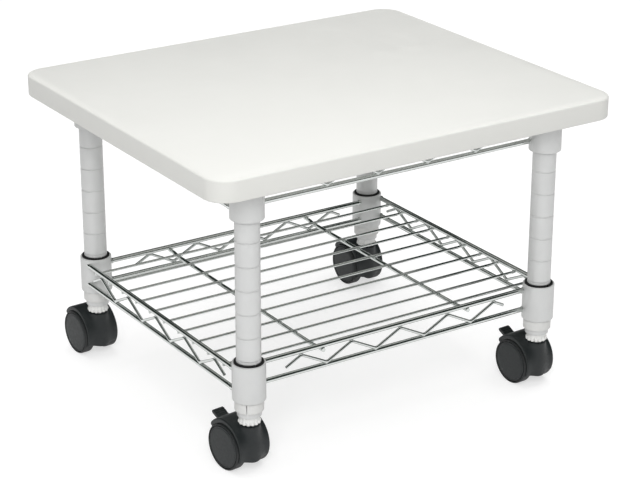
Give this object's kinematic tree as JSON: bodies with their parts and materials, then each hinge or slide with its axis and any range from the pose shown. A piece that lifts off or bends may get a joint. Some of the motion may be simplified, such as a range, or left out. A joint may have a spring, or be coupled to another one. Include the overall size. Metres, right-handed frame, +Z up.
{
  "type": "mobile printer stand",
  "caption": "Low wheeled stand with a laminated rectangular top, a welded wire shelf on grooved posts, and swivelling twin-wheel casters, the front ones with brake levers.",
  "frame": {"origin": "on the floor, under the middle of the table top", "axes": "+X along the top's long side, +Y from the front towards the rear, +Z up"},
  "size_m": [0.488, 0.42, 0.335],
  "materials": {
    "laminate": "satin off-white decor paper laminate",
    "edge_band": "satin off-white soft PVC edging",
    "particle_board": "raw particle board, hidden",
    "backer": "matt balancing foil",
    "silver_paint": "silver-grey powder coat, semi gloss",
    "chrome_wire": "bright chrome plate",
    "zinc_steel": "zinc plate",
    "bright_steel": "bright steel",
    "black_plastic": "black moulded plastic",
    "hood_plastic": "charcoal moulded nylon, fine spark texture",
    "wheel_plastic": "charcoal moulded nylon tread",
    "grey_plastic": "light grey moulded plastic",
    "white_nylon": "natural white nylon"
  },
  "bodies": {
    "root": {"caster_sockets": "white_nylon", "caster_stems": "bright_steel", "edge_band": "edge_band", "front_left_post": "silver_paint", "front_right_post": "silver_paint", "panel_clip_screws": "zinc_steel", "panel_clips": "zinc_steel", "post_top_plugs": "white_nylon", "rear_left_post": "silver_paint", "rear_right_post": "silver_paint", "shelf_collars": "silver_paint", "shelf_cross_wires": "chrome_wire", "shelf_long_rails": "chrome_wire", "shelf_long_zigzags": "chrome_wire", "shelf_mat_wires": "chrome_wire", "shelf_short_rails": "chrome_wire", "shelf_short_zigzags": "chrome_wire", "shelf_sleeves": "black_plastic", "shelf_support_rings": "grey_plastic", "stem_retaining_rings": "bright_steel", "top_core": "particle_board", "top_frame_collars": "silver_paint", "top_frame_long_rails": "chrome_wire", "top_frame_long_zigzags": "chrome_wire", "top_frame_short_rails": "chrome_wire", "top_frame_short_zigzags": "chrome_wire", "top_frame_sleeves": "black_plastic", "top_laminate": "laminate", "underside_backer": "backer"},
    "front_left_fork": {"front_left_hood": "hood_plastic", "front_left_axle": "bright_steel"},
    "front_left_wheel_set_left": {"front_left_wheel_left": "wheel_plastic", "front_left_wheel_cover_left": "hood_plastic"},
    "front_left_wheel_set_right": {"front_left_wheel_right": "wheel_plastic", "front_left_wheel_cover_right": "hood_plastic"},
    "front_left_brake": {"front_left_brake_lever": "hood_plastic"},
    "front_right_fork": {"front_right_hood": "hood_plastic", "front_right_axle": "bright_steel"},
    "front_right_wheel_set_left": {"front_right_wheel_left": "wheel_plastic", "front_right_wheel_cover_left": "hood_plastic"},
    "front_right_wheel_set_right": {"front_right_wheel_right": "wheel_plastic", "front_right_wheel_cover_right": "hood_plastic"},
    "front_right_brake": {"front_right_brake_lever": "hood_plastic"},
    "rear_left_fork": {"rear_left_hood": "hood_plastic", "rear_left_axle": "bright_steel"},
    "rear_left_wheel_set_left": {"rear_left_wheel_left": "wheel_plastic", "rear_left_wheel_cover_left": "hood_plastic"},
    "rear_left_wheel_set_right": {"rear_left_wheel_right": "wheel_plastic", "rear_left_wheel_cover_right": "hood_plastic"},
    "rear_right_fork": {"rear_right_hood": "hood_plastic", "rear_right_axle": "bright_steel"},
    "rear_right_wheel_set_left": {"rear_right_wheel_left": "wheel_plastic", "rear_right_wheel_cover_left": "hood_plastic"},
    "rear_right_wheel_set_right": {"rear_right_wheel_right": "wheel_plastic", "rear_right_wheel_cover_right": "hood_plastic"}
  },
  "joints": [
    {"name": "front_left_swivel", "type": "hinge", "parent": "root", "child": "front_left_fork", "pos_m": [-0.1843, -0.1655, 0.05], "axis": [0, 0, 1], "continuous": true},
    {"name": "front_left_wheel_left_spin", "type": "hinge", "parent": "front_left_fork", "child": "front_left_wheel_set_left", "pos_m": [-0.18633, -0.14772, 0.025], "axis": [0.9936, 0.1132, 0], "continuous": true},
    {"name": "front_left_wheel_right_spin", "type": "hinge", "parent": "front_left_fork", "child": "front_left_wheel_set_right", "pos_m": [-0.18633, -0.14772, 0.025], "axis": [0.9936, 0.1132, 0], "continuous": true},
    {"name": "front_left_brake_press", "type": "hinge", "parent": "front_left_fork", "child": "front_left_brake", "pos_m": [-0.18768, -0.13579, 0.037], "axis": [-0.9936, -0.1132, 0], "range_deg": [0, 16]},
    {"name": "front_right_swivel", "type": "hinge", "parent": "root", "child": "front_right_fork", "pos_m": [0.1843, -0.1655, 0.05], "axis": [0, 0, 1], "continuous": true},
    {"name": "front_right_wheel_left_spin", "type": "hinge", "parent": "front_right_fork", "child": "front_right_wheel_set_left", "pos_m": [0.18336, -0.14763, 0.025], "axis": [0.9986, 0.0523, 0], "continuous": true},
    {"name": "front_right_wheel_right_spin", "type": "hinge", "parent": "front_right_fork", "child": "front_right_wheel_set_right", "pos_m": [0.18336, -0.14763, 0.025], "axis": [0.9986, 0.0523, 0], "continuous": true},
    {"name": "front_right_brake_press", "type": "hinge", "parent": "front_right_fork", "child": "front_right_brake", "pos_m": [0.18274, -0.13564, 0.037], "axis": [-0.9986, -0.0523, 0], "range_deg": [0, 16]},
    {"name": "rear_left_swivel", "type": "hinge", "parent": "root", "child": "rear_left_fork", "pos_m": [-0.1843, 0.1655, 0.05], "axis": [0, 0, 1], "continuous": true},
    {"name": "rear_left_wheel_left_spin", "type": "hinge", "parent": "rear_left_fork", "child": "rear_left_wheel_set_left", "pos_m": [-0.18524, 0.18338, 0.025], "axis": [0.9986, 0.0523, 0], "continuous": true},
    {"name": "rear_left_wheel_right_spin", "type": "hinge", "parent": "rear_left_fork", "child": "rear_left_wheel_set_right", "pos_m": [-0.18524, 0.18338, 0.025], "axis": [0.9986, 0.0523, 0], "continuous": true},
    {"name": "rear_right_swivel", "type": "hinge", "parent": "root", "child": "rear_right_fork", "pos_m": [0.1843, 0.1655, 0.05], "axis": [0, 0, 1], "continuous": true},
    {"name": "rear_right_wheel_left_spin", "type": "hinge", "parent": "rear_right_fork", "child": "rear_right_wheel_set_left", "pos_m": [0.18399, 0.1834, 0.025], "axis": [0.9998, 0.0175, 0], "continuous": true},
    {"name": "rear_right_wheel_right_spin", "type": "hinge", "parent": "rear_right_fork", "child": "rear_right_wheel_set_right", "pos_m": [0.18399, 0.1834, 0.025], "axis": [0.9998, 0.0175, 0], "continuous": true}
  ]
}
